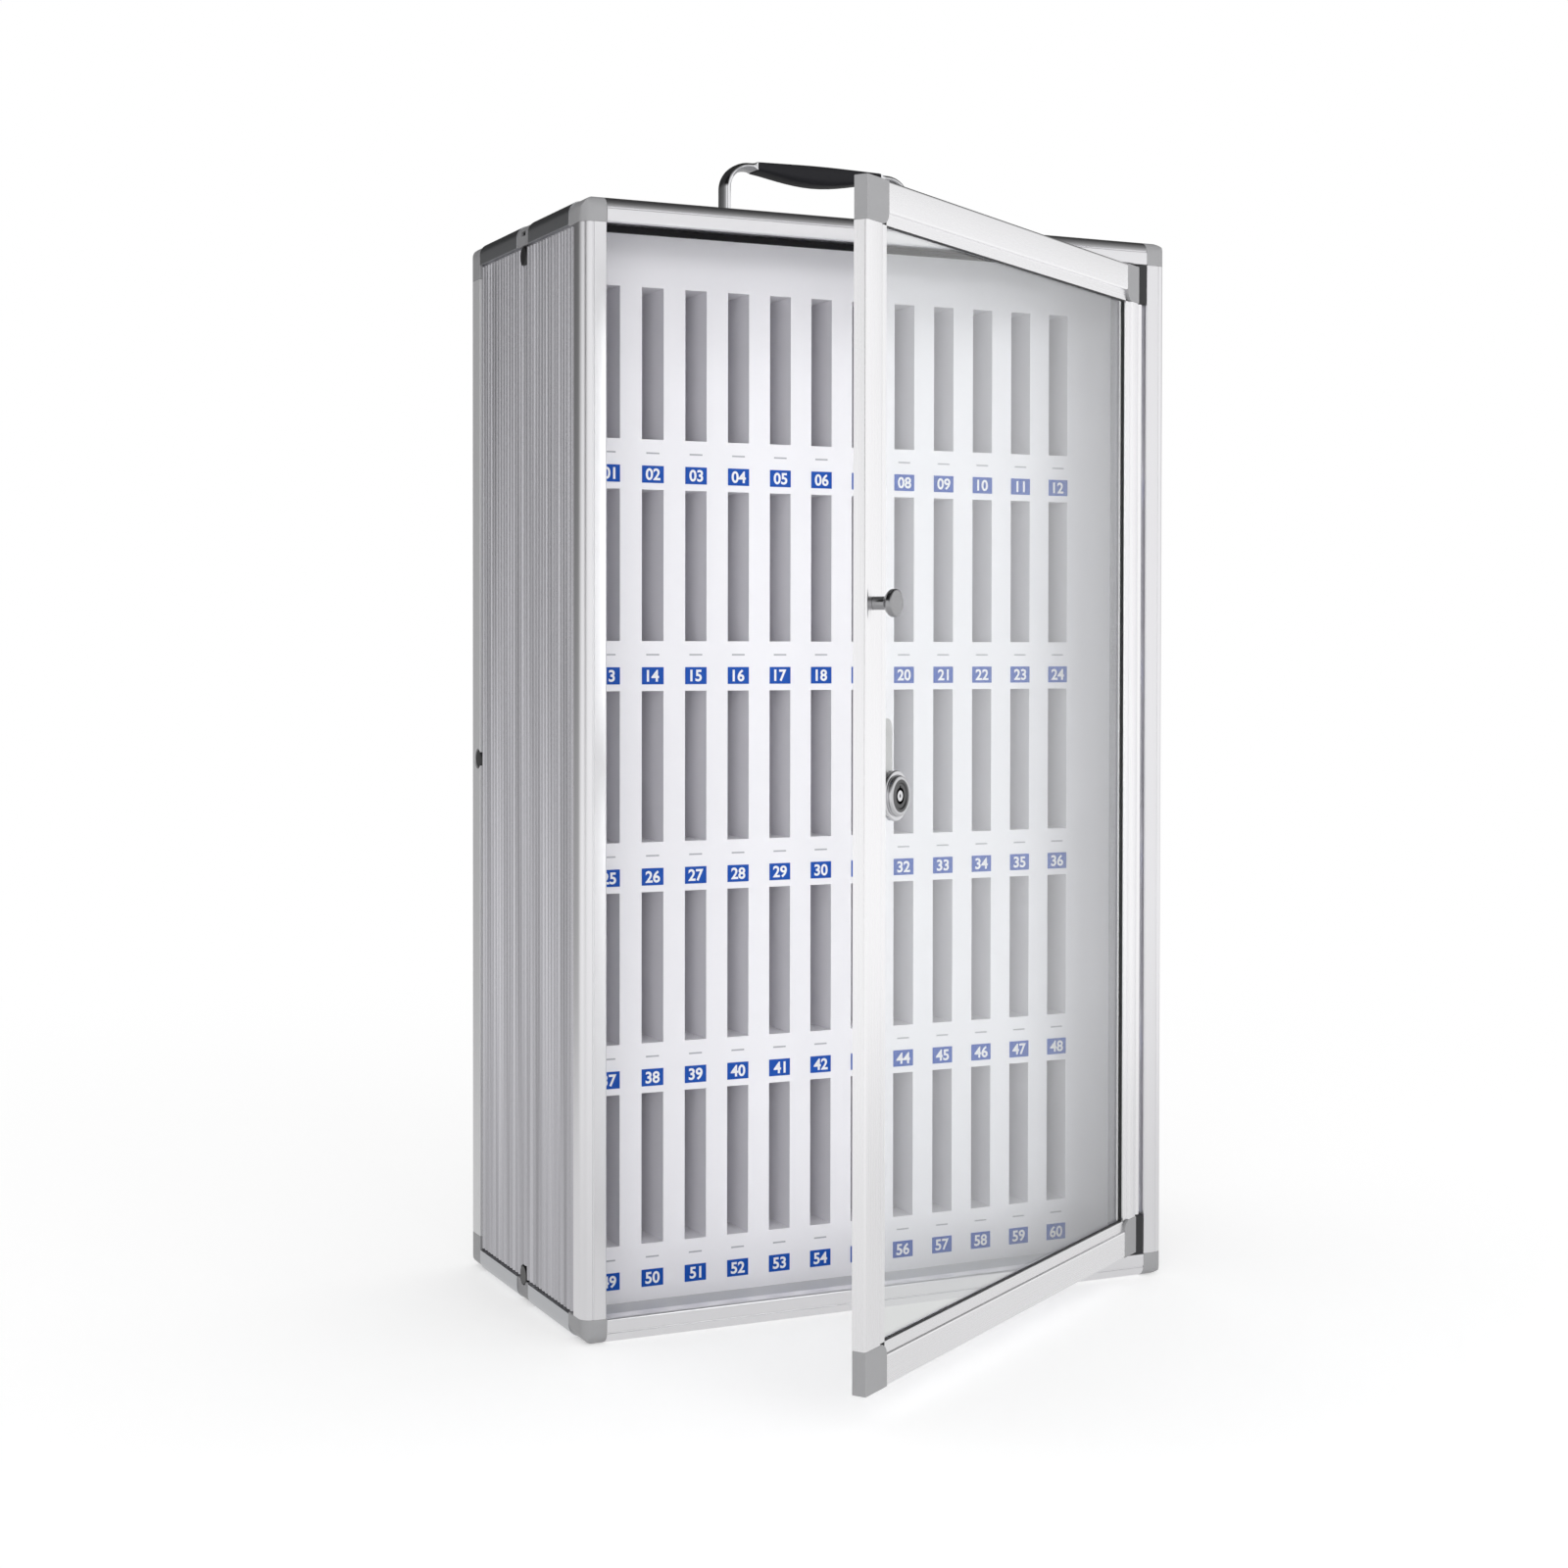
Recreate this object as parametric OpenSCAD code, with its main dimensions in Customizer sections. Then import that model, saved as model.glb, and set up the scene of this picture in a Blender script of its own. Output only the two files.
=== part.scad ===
// Counter-top locker box for mobile phones, with upright slots, a glazed door and a carrying handle.
// The base rests on Z = 0 with its centre at the origin, and the door side faces -Y.
// Pieces are drawn in box coordinates: X from the left side, Y from the front, Z from the base.

/* [Box] */
// Overall width of the box
body_w = 420; // [400:5:600]
// Overall depth of the box, without the door
body_d = 225; // [180:5:320]
// Overall height of the box, without the handle
body_h = 700; // [680:5:900]
// Thickness of the wall boards
board_t = 4; // [3:0.5:6]

/* [Frame profiles] */
// Width of the front frame seen from the front
frame_face = 16; // [14:0.5:20]
// Depth of the front frame along the side walls
frame_leg = 16; // [14:0.5:20]
// Depth of the inner return that the door shuts against
return_d = 10; // [8:0.5:10]
// Wall of the aluminium profiles
profile_wall = 2.5; // [2:0.1:3]
// Outer rounding of the front frame and the edge rails
profile_round = 8; // [6:0.5:9]
// Leg width of the rails that run from front to back
edge_leg = 15; // [13:0.5:18]
// Leg width of the rear posts and rails
rear_leg = 24; // [20:1:30]
// Outer rounding of the corner caps and rear profiles
cap_round = 10; // [9.5:0.5:12]
// Depth of the front corner caps
cap_depth = 25; // [20:1:30]
// Length of the clip in the middle of each edge rail
splice_len = 22; // [14:1:30]
// Step of the clip below the surface of its rail
splice_inset = 0.5; // [0.3:0.1:1]
// Length of the window in the rounded edge of an upper clip
splice_window = 9.6; // [6:0.2:12]

/* [Ribbed sides] */
// Distance between the ribs
rib_pitch = 5.8; // [4.5:0.1:8]
// Radius of a rib's round back
rib_r = 2.4; // [1.8:0.1:2.8]
// Height of the ribs above the board
rib_h = 1.5; // [0.8:0.1:2]
// Radius of the round plugs in the side walls
plug_r = 6.4; // [5:0.2:9]
// How far a lower plug reaches over the edge of its clip
plug_over = 3; // [0:0.5:4]
// Distance from the back to the plug in the rear post
rear_plug_in = 19; // [17:0.5:21]

/* [Phone slots] */
// Number of slot columns
slot_cols = 12; // [4:1:12]
// Width of a slot
slot_w = 15; // [12:0.5:20]
// Height of a slot
slot_h = 97; // [70:1:100]
// Distance between the slot columns
slot_pitch_x = 30; // [24:0.5:31]
// Distance between the slot rows
slot_pitch_z = 129; // [118:1:132]
// Offset of the slot field from the middle of the box
slot_shift = -4; // [-8:1:8]
// Height of the plain band above the first row
header_h = 34; // [20:1:45]
// Distance from the front of the box to the slotted front
recess_d = 63; // [40:1:80]
// Sheet thickness of the bands between the rows
sheet_t = 1.5; // [1:0.1:3]
// Sheet thickness of the hollow dividers
divider_t = 1; // [0.8:0.1:2]
// Width of a number label
label_w = 15; // [10:0.5:20]
// Height of a number label
label_h = 11; // [8:0.5:14]
// Distance from a slot's foot to the middle of its label
label_drop = 22.2; // [15:0.1:24]

/* [Door] */
// Opening angle of the door as shown
door_open = 34; // [0:1:100]
// Thickness of the door frame
door_t = 8.4; // [8:0.1:10]
// Face width of the lock stile and the two rails, without the glazing lip
door_face = 18; // [15:0.5:22]
// Face width of the hinge stile, without the glazing lip
hinge_face = 12; // [10:0.5:16]
// Width of the glazing lip
lip_w = 6.5; // [5:0.5:8]
// Step from the door's face to the glazing lip
lip_step = 1.5; // [1:0.1:3]
// Wall of the door profiles
door_wall = 1.2; // [1:0.1:1.4]
// Thickness of the glass
glass_t = 3; // [2.5:0.1:3.4]
// Gap between the door and the front frame
door_gap = 1.5; // [1:0.1:2.5]
// Diameter of the hinge pins
hinge_pin_d = 4; // [3:0.1:4.4]
// Height of a hinge block
block_h = 26; // [20:1:40]

/* [Knob and lock] */
// Height of the knob above the base
knob_z = 450; // [300:5:550]
// Diameter of the knob's disc
knob_d = 15.5; // [12:0.5:17]
// Height of the lock above the base
lock_z = 343.5; // [150:0.5:420]
// Diameter of the lock's flange on the glass
flange_d = 28.4; // [26:0.2:31]
// Diameter of the lock's front collar
bezel_d = 23.2; // [20:0.2:25]
// Diameter of the lock's barrel
barrel_d = 19; // [17:0.5:20]
// Length of the cam from the lock's axis to its tip
cam_len = 43; // [42:0.5:45]
// Width of the cam
cam_w = 12; // [10:0.5:14]

/* [Handle] */
// Overall width of the handle
handle_w = 140; // [120:1:180]
// Height of the handle's top above the box
handle_rise = 51.5; // [45:0.5:70]
// Thickness of the handle strap
strap_t = 5; // [4:0.5:6]
// Width of the handle strap
strap_w = 16; // [14:0.5:16]
// Outer radius of the handle's bends
bend_r = 18; // [14:0.5:22]
// Length of the grip sleeve
grip_len = 92; // [70:1:100]
// Width of the grip in its middle
grip_w = 20.5; // [18:0.5:21]
// Diameter of the handle's pivot pins
handle_pin_d = 5; // [4:0.1:6]

/* [Hidden] */
$fn = 48;

// Clearances
running = 0.05;
seated = 0.02;
slip = 0.3;

// Front frame details
frame_edge_r = 1.6;
groove_in = 7;
groove_r = 0.6;

// Inside faces of the box
inner_x0 = profile_wall + board_t;
inner_x1 = body_w - inner_x0;
inner_z0 = profile_wall + board_t;
inner_z1 = body_h - inner_z0;
inner_y1 = body_d - inner_z0;
field_in = max(frame_face, edge_leg) + 0.5;

// Ribbed walls
rib_start = frame_leg + 6;
rib_zone = body_d - rear_leg - rib_start;
rib_chord = 2 * sqrt(rib_r * rib_r - pow(rib_r - rib_h, 2));
rib_count = floor((rib_zone - rib_chord) / rib_pitch) + 1;
rib_first = rib_start + (rib_zone - (rib_count - 1) * rib_pitch) / 2;
plug_head_t = 1.9;
window_h = 3;
plug_stem_r = 5;

// Slot field
fascia_y = recess_d;
fascia_top = body_h - 10;
pocket_d = inner_y1 - fascia_y;
slot_rows = 5;
first_top = fascia_top - header_h;
first_col = body_w / 2 + slot_shift - slot_pitch_x * (slot_cols - 1) / 2;
label_t = 0.4;
seal_t = 3;
seal_show = 4;

// Door layout with the door shut: the pivot lies beside the frame and behind the door's face
door_y = 0.5;
door_x0 = frame_face + door_gap;
door_z0 = frame_face + door_gap + 0.5;
door_z1 = body_h - door_z0;
pivot_in = 5;
pivot_x = body_w - frame_face - pivot_in;
pivot_y = door_y + 4;
pivot_out = 6;
door_x1 = pivot_x - pivot_out;
knuckle_r = 3.6;
block_r = 4;
web_t = 3;
knuckle_gap = 0.5;
pin_reach = 20;
door_round = 1.6;
rear_lip = door_t - door_wall;
gasket_t = rear_lip - lip_step - door_wall - glass_t;
gasket_show = 0.6;
glass_in = 2;
cap_proud = 0.3;
door_cap_r = 7;
cap_z = door_face + lip_w;
stile_z0 = door_z0 + cap_z;
stile_z1 = door_z1 - cap_z;
knuckle_z0 = frame_face + block_h + knuckle_gap;
web_z0 = max(stile_z0, knuckle_z0);

// Knob and lock layout with the door shut
knob_x = door_x0 + door_face / 2;
knob_stem_r = 3.7;
knob_out = 14;
knob_disc_t = 3;
knob_dome = 4.5;
screw_r = 1.5;
glass_back = door_y + rear_lip;
glass_front = glass_back - glass_t;
lock_x = door_x0 + door_face + lip_w + gasket_show + flange_d / 2 + 0.1;
lock_front = door_y - 0.2;
flange_t = 2;
plug_front = lock_front + 0.5;
plug_face_r = 7;
plug_body_r = 5.5;
plug_face_t = 1.2;
nut_t = 2.4;
nut_flats = 24;
cam_y = return_d + 0.9;
cam_t = 2;
tail_w = 6;
cam_screw_r = 2;

// Handle layout
pivot_z = body_h + 9;
leg_x = handle_w / 2 - strap_t / 2;
ear_t = 2.5;
ear_r = 7;
foot_t = 2;
foot_len = 42;
rivet_at = 14;
rivet_r = 2;
rivet_head_r = 3.8;
grip_steps = 14;
grip_sides = 24;

// Places a piece drawn in box coordinates about the origin of the part
module in_box() {
  translate([-body_w / 2, -body_d / 2, 0])
    children();
}

// Places a door piece, drawn with the door shut, at the door's opening angle
module on_door() {
  in_box()
    translate([pivot_x, pivot_y, 0])
      rotate([0, 0, door_open])
        translate([-pivot_x, -pivot_y, 0])
          children();
}

// Repeats a piece on the right side
module both_sides() {
  children();
  translate([body_w, 0, 0])
    mirror([1, 0, 0])
      children();
}

// Repeats a piece at the top
module both_ends() {
  children();
  translate([0, 0, body_h])
    mirror([0, 0, 1])
      children();
}

// Extrusions of a flat outline along one axis, from one station to the next
module along_x(x0, x1) {
  translate([x0, 0, 0])
    rotate([90, 0, 90])
      linear_extrude(x1 - x0)
        children();
}

module along_y(y0, y1) {
  translate([0, y1, 0])
    rotate([90, 0, 0])
      linear_extrude(y1 - y0)
        children();
}

module along_z(z0, z1) {
  translate([0, 0, z0])
    linear_extrude(z1 - z0)
      children();
}

// Round bars along an axis
module bar_x(x0, x1, y, z, r) {
  translate([x0, y, z])
    rotate([0, 90, 0])
      cylinder(h = x1 - x0, r = r);
}

module bar_y(x, y0, y1, z, r) {
  translate([x, y0, z])
    rotate([-90, 0, 0])
      cylinder(h = y1 - y0, r = r);
}

module bar_z(x, y, z0, z1, r) {
  translate([x, y, z0])
    cylinder(h = z1 - z0, r = r);
}

// Rectangle with one round corner, at the origin
module corner_2d(a, b, r) {
  translate([r, 0])
    square([a - r, b]);
  translate([0, r])
    square([a, b - r]);
  translate([r, r])
    circle(r);
}

// Angle profile with its round outer corner at the origin
module angle_2d(a, b, wall, r) {
  difference() {
    corner_2d(a, b, r);
    translate([wall, wall])
      corner_2d(a, b, r - wall);
  }
}

// Front frame profile: outer leg along Y, face along X, and the inner return
module frame_2d() {
  difference() {
    union() {
      angle_2d(frame_face, frame_leg, profile_wall, profile_round);
      translate([frame_face - profile_wall, 0])
        square([profile_wall, return_d]);
    }
    translate([frame_face - frame_edge_r, 0])
      difference() {
        translate([0, -1])
          square([frame_edge_r + 1, frame_edge_r + 1]);
        translate([0, frame_edge_r])
          circle(frame_edge_r);
      }
    translate([groove_in, 0])
      circle(groove_r);
  }
}

// Block with its three outer edges at the origin rounded
module corner_block(a, b, c, r_front, r_side) {
  intersection() {
    along_y(0, b)
      corner_2d(a, c, r_front);
    along_z(0, c)
      corner_2d(a, b, r_side);
    along_x(0, a)
      corner_2d(b, c, r_side);
  }
}

// Hollow corner cap with its outer corner at the origin
module corner_cap(a, b, c, r_front, r_side) {
  difference() {
    corner_block(a, b, c, r_front, r_side);
    translate([profile_wall, profile_wall, profile_wall])
      corner_block(a, b, c, r_front - profile_wall, r_side - profile_wall);
  }
}

// Front frame
module front_rail() {
  along_x(frame_face, body_w - frame_face)
    mirror([1, -1])
      frame_2d();
}

module front_bottom_rail() {
  color("silver")
    in_box()
      front_rail();
}

module front_top_rail() {
  color("silver")
    in_box()
      translate([0, 0, body_h])
        mirror([0, 0, 1])
          front_rail();
}

module front_left_stile() {
  color("silver")
    in_box()
      along_z(frame_face, body_h - frame_face)
        frame_2d();
}

module front_right_stile() {
  color("silver")
    in_box()
      translate([body_w, 0, 0])
        mirror([1, 0, 0])
          along_z(frame_face, body_h - frame_face)
            frame_2d();
}

module front_corner_caps() {
  color("darkgray")
    in_box()
      both_ends()
        both_sides()
          union() {
            corner_cap(frame_face, cap_depth, frame_face, cap_round, profile_round);
            translate([frame_face - profile_wall, profile_wall / 2, frame_face - profile_wall])
              cube([profile_wall, return_d - profile_wall / 2, profile_wall]);
          }
}

// Rails from front to back, each in two lengths with a clip between them
module edge_rail_pair() {
  both_ends() {
    along_y(cap_depth, (body_d - splice_len) / 2)
      angle_2d(edge_leg, edge_leg, profile_wall, profile_round);
    along_y((body_d + splice_len) / 2, body_d - rear_leg)
      angle_2d(edge_leg, edge_leg, profile_wall, profile_round);
  }
}

module left_edge_rails() {
  color("gray")
    in_box()
      edge_rail_pair();
}

module right_edge_rails() {
  color("gray")
    in_box()
      translate([body_w, 0, 0])
        mirror([1, 0, 0])
          edge_rail_pair();
}

// Clips with a notch around a plug that reaches over them, and a window in the upper ones
module rail_splices() {
  splice_leg = edge_leg - splice_inset;
  color("dimgray")
    in_box()
      both_sides()
        difference() {
          both_ends()
            along_y((body_d - splice_len) / 2, (body_d + splice_len) / 2)
              translate([splice_inset, splice_inset])
                angle_2d(splice_leg, splice_leg, profile_wall - splice_inset, profile_round - splice_inset);
          for (place = plug_places)
            bar_x(-1, profile_wall + 1, place[0], place[1], plug_r + slip);
          translate([-1, (body_d - splice_window) / 2, body_h - profile_round - 0.5])
            cube([profile_wall + 2, splice_window, window_h]);
        }
}

// Rear frame
module rear_posts() {
  color("silver")
    in_box()
      both_sides()
        difference() {
          translate([0, body_d, 0])
            mirror([0, 1, 0])
              along_z(rear_leg, body_h - rear_leg)
                angle_2d(rear_leg, rear_leg, profile_wall, cap_round);
          bar_x(-1, profile_wall + 1, body_d - rear_plug_in, body_h / 2, plug_r + slip);
        }
}

module rear_rails() {
  color("silver")
    in_box()
      both_ends()
        translate([0, body_d, 0])
          mirror([0, 1, 0])
            along_x(rear_leg, body_w - rear_leg)
              angle_2d(rear_leg, rear_leg, profile_wall, cap_round);
}

module rear_corner_caps() {
  color("darkgray")
    in_box()
      both_ends()
        both_sides()
          translate([0, body_d, 0])
            mirror([0, 1, 0])
              corner_cap(rear_leg, rear_leg, rear_leg, cap_round, cap_round);
}

// Places of the plugs in one side wall, as depth and height
plug_places = [
  [body_d / 2, edge_leg + plug_r - plug_over],
  [body_d / 2, body_h - edge_leg - plug_r],
  [body_d - rear_plug_in, body_h / 2]
];

// Button with a bevelled head outside the wall and a stem through it
module panel_plug() {
  bevel = 0.8;
  bar_x(profile_wall - plug_head_t + bevel, profile_wall, 0, 0, plug_r);
  translate([profile_wall - plug_head_t + bevel, 0, 0])
    rotate([0, -90, 0])
      cylinder(h = bevel, r1 = plug_r, r2 = plug_r - bevel);
  bar_x(profile_wall, inner_x0, 0, 0, plug_stem_r);
}

module panel_plugs() {
  color("black")
    in_box()
      both_sides()
        for (place = plug_places)
          translate([0, place[0], place[1]])
            panel_plug();
}

// Side wall: a flat board with upright round-backed ribs outside
module side_board() {
  difference() {
    union() {
      translate([profile_wall, cap_round, cap_round])
        cube([board_t, body_d - 2 * cap_round, body_h - 2 * cap_round]);
      along_z(field_in, body_h - field_in)
        for (i = [0:rib_count - 1])
          translate([profile_wall + rib_r - rib_h, rib_first + i * rib_pitch])
            circle(rib_r);
    }
    for (place = plug_places) {
      bar_x(0, profile_wall, place[0], place[1], plug_r + slip);
      bar_x(0, inner_x0 + 1, place[0], place[1], plug_stem_r + seated);
    }
  }
}

module left_side_panel() {
  color("lightsteelblue")
    in_box()
      side_board();
}

module right_side_panel() {
  color("lightsteelblue")
    in_box()
      translate([body_w, 0, 0])
        mirror([1, 0, 0])
          side_board();
}

module top_panel() {
  color("gainsboro")
    in_box()
      difference() {
        translate([cap_round, cap_round, inner_z1])
          cube([body_w - 2 * cap_round, body_d - 2 * cap_round, board_t]);
        for (place = rivet_places)
          bar_z(place[0], place[1], inner_z1 - 1, body_h, rivet_r + seated);
      }
}

// Floor board: its rim lies on the rails and its middle is flush with their underside
module bottom_panel() {
  color("gainsboro")
    in_box() {
      translate([cap_round, cap_round, profile_wall])
        cube([body_w - 2 * cap_round, body_d - 2 * cap_round, board_t]);
      translate([field_in, field_in, 0])
        cube([body_w - 2 * field_in, body_d - rear_leg - 0.5 - field_in, inner_z0]);
    }
}

module back_panel() {
  color("gainsboro")
    in_box()
      translate([cap_round, inner_y1, cap_round])
        cube([body_w - 2 * cap_round, board_t, body_h - 2 * cap_round]);
}

// Height of the head and the foot of a slot row, counted from 0 at the top
function slot_top(row) = first_top - row * slot_pitch_z;
function slot_foot(row) = slot_top(row) - slot_h;
function column_x(col) = first_col + col * slot_pitch_x;

// Folded sheet band across the box, open behind, that roofs one row and floors the next
module band(z0, z1) {
  color("whitesmoke")
    in_box()
      translate([inner_x0, fascia_y, z0])
        difference() {
          cube([inner_x1 - inner_x0, pocket_d, z1 - z0]);
          translate([-1, sheet_t, sheet_t])
            cube([inner_x1 - inner_x0 + 2, pocket_d, z1 - z0 - 2 * sheet_t]);
        }
}

module header_band() {
  band(first_top, fascia_top);
}

module shelf_row(row) {
  last = row == slot_rows - 1;
  band(last ? inner_z0 : slot_top(row + 1), slot_foot(row));
}

// Hollow upright between two slots, or beside the last one
module divider(x0, x1) {
  translate([x0, fascia_y, 0])
    difference() {
      cube([x1 - x0, pocket_d, slot_h]);
      translate([divider_t, divider_t, -1])
        cube([x1 - x0 - 2 * divider_t, pocket_d - 2 * divider_t, slot_h + 2]);
    }
}

module dividers_row(row) {
  color("whitesmoke")
    in_box()
      translate([0, 0, slot_foot(row)]) {
        divider(inner_x0, column_x(0) - slot_w / 2);
        for (col = [0:slot_cols - 2])
          divider(column_x(col) + slot_w / 2, column_x(col + 1) - slot_w / 2);
        divider(column_x(slot_cols - 1) + slot_w / 2, inner_x1);
      }
}

module number_labels() {
  color("royalblue")
    in_box()
      for (row = [0:slot_rows - 1], col = [0:slot_cols - 1])
        translate([column_x(col), fascia_y - label_t, slot_foot(row) - label_drop])
          translate([-label_w / 2, 0, -label_h / 2])
            cube([label_w, label_t, label_h]);
}

module top_seal_strip() {
  color("black")
    in_box()
      translate([cap_round, cap_round, body_h - frame_face - seal_show])
        cube([body_w - 2 * cap_round, seal_t, inner_z1 - body_h + frame_face + seal_show]);
}

// Hinge block on the frame's return, with the bore for its pin
module hinge_block() {
  difference() {
    union() {
      bar_z(pivot_x, pivot_y, frame_face, frame_face + block_h, block_r);
      translate([pivot_x, pivot_y - block_r, frame_face])
        cube([pivot_in, 2 * block_r, block_h]);
    }
    bar_z(pivot_x, pivot_y, frame_face - 1, frame_face + block_h + 1, hinge_pin_d / 2 + seated);
  }
}

module lower_hinge_block() {
  color("black")
    in_box()
      hinge_block();
}

module upper_hinge_block() {
  color("black")
    in_box()
      translate([0, 0, body_h])
        mirror([0, 0, 1])
          hinge_block();
}

module hinge_pins() {
  color("lightgray")
    in_box()
      both_ends()
        bar_z(pivot_x, pivot_y, frame_face, frame_face + block_h + pin_reach, hinge_pin_d / 2);
}

// Handle: places of the two legs and of the four rivets
leg_places = [body_w / 2 - leg_x, body_w / 2 + leg_x];
rivet_places = [for (x = leg_places, side = [-1, 1]) [x + side * rivet_at, body_d / 2]];

// Bracket with two ears around a handle leg
module handle_bracket() {
  ear_in = strap_t / 2 + slip;
  foot_z = body_h - profile_wall;
  difference() {
    union() {
      translate([-foot_len / 2, -strap_w / 2, foot_z])
        cube([foot_len, strap_w, foot_t]);
      for (side = [-1, 1])
        translate([side * (ear_in + ear_t / 2) - ear_t / 2, 0, 0]) {
          bar_x(0, ear_t, 0, pivot_z, ear_r);
          translate([0, -ear_r, foot_z])
            cube([ear_t, 2 * ear_r, pivot_z - foot_z]);
        }
    }
    bar_x(-ear_in - ear_t - 1, ear_in + ear_t + 1, 0, pivot_z, handle_pin_d / 2 + seated);
    for (side = [-1, 1])
      bar_z(side * rivet_at, 0, foot_z - 1, foot_z + foot_t + 1, rivet_r + seated);
  }
}

module handle_brackets() {
  color("lightgray")
    in_box()
      for (x = leg_places)
        translate([x, body_d / 2, 0])
          handle_bracket();
}

module bracket_rivets() {
  head_z = body_h - profile_wall + foot_t;
  color("lightgray")
    in_box()
      for (place = rivet_places) {
        bar_z(place[0], place[1], inner_z1 - 1, head_z, rivet_r);
        bar_z(place[0], place[1], inner_z1 - 1, inner_z1, rivet_head_r);
        translate([place[0], place[1], head_z])
          cylinder(h = 1.4, r1 = rivet_head_r, r2 = rivet_r);
      }
}

module handle_pins() {
  ear_out = strap_t / 2 + slip + ear_t;
  head = 1.5;
  color("lightgray")
    in_box()
      for (x = leg_places)
        translate([x, body_d / 2, pivot_z]) {
          bar_x(-ear_out - head, ear_out + head, 0, 0, handle_pin_d / 2);
          bar_x(-ear_out - head, -ear_out, 0, 0, handle_pin_d / 2 + 1.5);
          bar_x(ear_out, ear_out + head, 0, 0, handle_pin_d / 2 + 1.5);
        }
}

// Outline of the bent strap, seen from the front, with the pivot line at zero height
module strap_2d(half_w, rise, r) {
  translate([-half_w, 0])
    square([2 * half_w, rise - r]);
  translate([-half_w + r, 0])
    square([2 * (half_w - r), rise]);
  for (side = [-1, 1])
    translate([side * (half_w - r), rise - r])
      circle(r);
}

module handle_bail() {
  rise = body_h + handle_rise - pivot_z;
  color("gainsboro")
    in_box()
      translate([body_w / 2, body_d / 2, pivot_z])
        difference() {
          union() {
            along_y(-strap_w / 2, strap_w / 2)
              difference() {
                strap_2d(handle_w / 2, rise, bend_r);
                translate([0, -1])
                  strap_2d(handle_w / 2 - strap_t, rise - strap_t + 1, bend_r - strap_t);
              }
            for (side = [-1, 1])
              bar_x(side * leg_x - strap_t / 2, side * leg_x + strap_t / 2, 0, 0, strap_w / 2);
          }
          bar_x(-handle_w, handle_w, 0, 0, handle_pin_d / 2 + running);
        }
}

// Swelling of the grip along its length: 0 at the ends, 1 in the middle
function grip_swell(t) = pow(sin(180 * t), 1.2);

// Ring of the grip: a soft rectangle, flat on top and fuller below as it swells
function grip_ring(t) =
  let (
    swell = grip_swell(t),
    half = (strap_w + 1.6 + (grip_w - strap_w - 1.6) * swell) / 2,
    up = strap_t / 2 + 0.6 + 0.6 * swell,
    down = strap_t / 2 + 0.6 + 6.2 * swell
  )
  [for (k = [0:grip_sides - 1])
    let (a = 360 * k / grip_sides, c = cos(a), s = sin(a))
    [(t - 0.5) * grip_len,
      half * sign(c) * pow(abs(c), 0.35),
      (s > 0 ? up : down) * sign(s) * pow(abs(s), 0.5)]];

module handle_grip() {
  points = [for (i = [0:grip_steps]) each grip_ring(i / grip_steps)];
  last = grip_steps * grip_sides;
  walls = [for (i = [0:grip_steps - 1], k = [0:grip_sides - 1])
    let (a = i * grip_sides + k, b = i * grip_sides + (k + 1) % grip_sides)
    each [[a, b, b + grip_sides], [a, b + grip_sides, a + grip_sides]]];
  ends = [[for (k = [grip_sides - 1:-1:0]) k], [for (k = [0:grip_sides - 1]) last + k]];
  color("black")
    in_box()
      translate([body_w / 2, body_d / 2, body_h + handle_rise - strap_t / 2])
        difference() {
          polyhedron(points, concat(walls, ends));
          cube([grip_len + 2, strap_w + 2 * running, strap_t + 2 * running], center = true);
        }
}

// Door profile: hollow box with the face at the bottom, and the glazing channel to the right
module door_2d(face) {
  difference() {
    union() {
      translate([door_round, 0])
        square([face - 2 * door_round, door_t]);
      translate([0, door_round])
        square([face, door_t - door_round]);
      for (x = [door_round, face - door_round])
        translate([x, door_round])
          circle(door_round);
      translate([face - door_wall, lip_step])
        square([lip_w + door_wall, door_wall]);
      translate([face - door_wall, rear_lip])
        square([lip_w + door_wall, door_wall]);
    }
    translate([door_wall, door_wall])
      square([face - 2 * door_wall, door_t - 2 * door_wall]);
  }
}

module door_rail() {
  along_x(door_x0 + door_face + lip_w, door_x1 - hinge_face - lip_w)
    translate([door_y, door_z0])
      mirror([1, -1])
        door_2d(door_face);
}

module door_bottom_rail() {
  color("whitesmoke")
    on_door()
      door_rail();
}

module door_top_rail() {
  color("whitesmoke")
    on_door()
      translate([0, 0, body_h])
        mirror([0, 0, 1])
          door_rail();
}

module door_lock_stile() {
  color("whitesmoke")
    on_door()
      difference() {
        along_z(stile_z0, stile_z1)
          translate([door_x0, door_y])
            door_2d(door_face);
        bar_y(knob_x, door_y - 1, door_y + door_t + 1, knob_z, screw_r + running);
      }
}

// Hinge stile with the knuckle tube that turns on the two pins
module door_hinge_stile() {
  color("whitesmoke")
    on_door() {
      along_z(stile_z0, stile_z1)
        translate([door_x1, door_y])
          mirror([1, 0])
            door_2d(hinge_face);
      difference() {
        union() {
          along_z(web_z0, body_h - web_z0)
            translate([door_x1 - door_wall, pivot_y - web_t / 2])
              square([pivot_out + door_wall, web_t]);
          bar_z(pivot_x, pivot_y, knuckle_z0, body_h - knuckle_z0, knuckle_r);
        }
        bar_z(pivot_x, pivot_y, knuckle_z0 - 1, body_h - knuckle_z0 + 1, hinge_pin_d / 2 + running);
      }
    }
}

// Door corner with a round inner corner and a pocket for the corner of the glass
module door_corner(face) {
  width = face + lip_w;
  difference() {
    along_y(door_y - cap_proud, door_y + door_t)
      translate([width, cap_z])
        rotate(180)
          corner_2d(width, cap_z, door_cap_r);
    translate([face + glass_in - slip, door_y + lip_step + door_wall, door_face + glass_in - slip])
      cube([width, glass_t + gasket_t, cap_z]);
  }
}

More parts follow.
